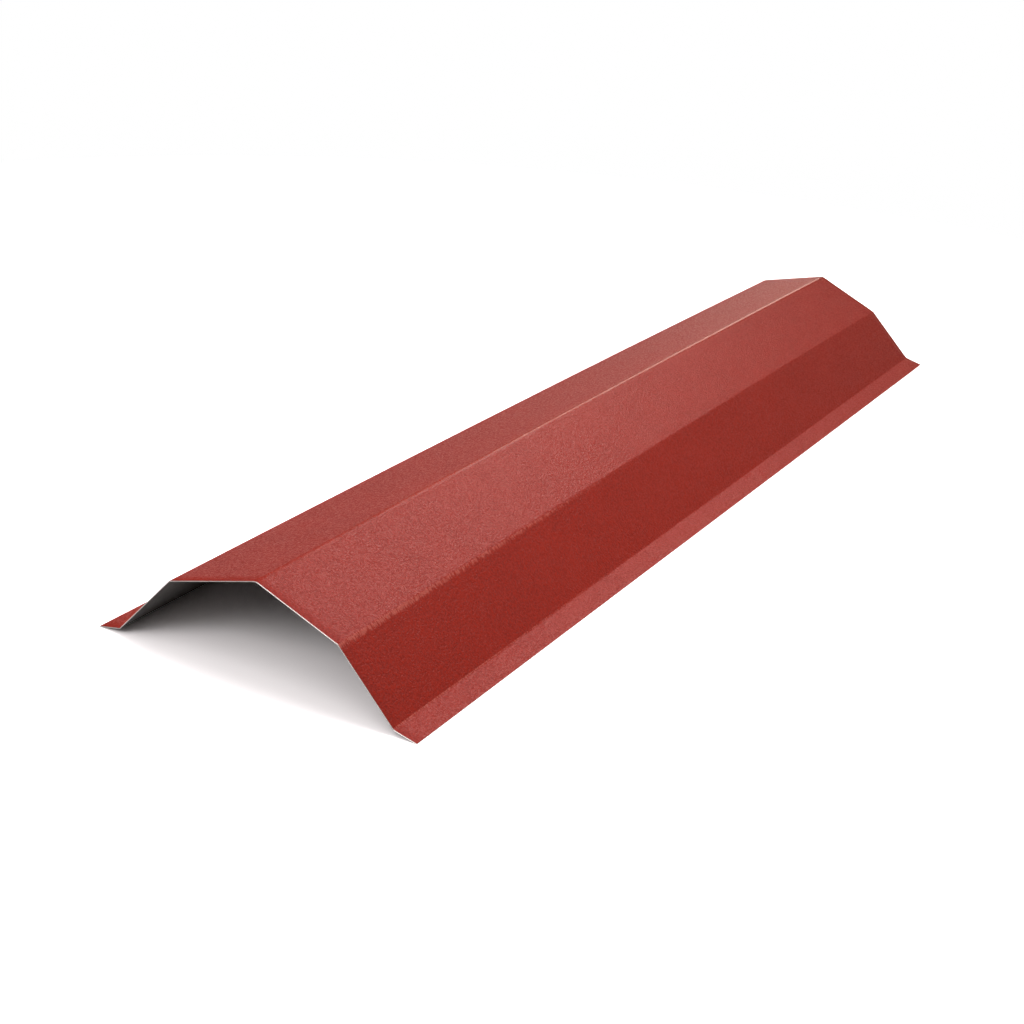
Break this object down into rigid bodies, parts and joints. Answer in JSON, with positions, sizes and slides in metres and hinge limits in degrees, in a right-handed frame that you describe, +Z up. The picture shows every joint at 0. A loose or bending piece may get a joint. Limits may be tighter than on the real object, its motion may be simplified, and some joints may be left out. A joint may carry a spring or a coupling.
{
  "type": "roof hip cap",
  "caption": "Long folded cap of painted steel sheet with a low ridge, steep sides and narrow lips, which covers the join along a roof's hip.",
  "frame": {"origin": "on the floor, midway along the cap and midway between its lips", "axes": "+X across the cap, +Y along the hip, +Z up towards the ridge"},
  "size_m": [0.2442, 1, 0.0701],
  "materials": {
    "red_coated_steel": "matt brick-red coat with a fine grain on the outside, thin grey back coat on the underside"
  },
  "bodies": {
    "root": {"hip_cap": "red_coated_steel"}
  },
  "joints": []
}
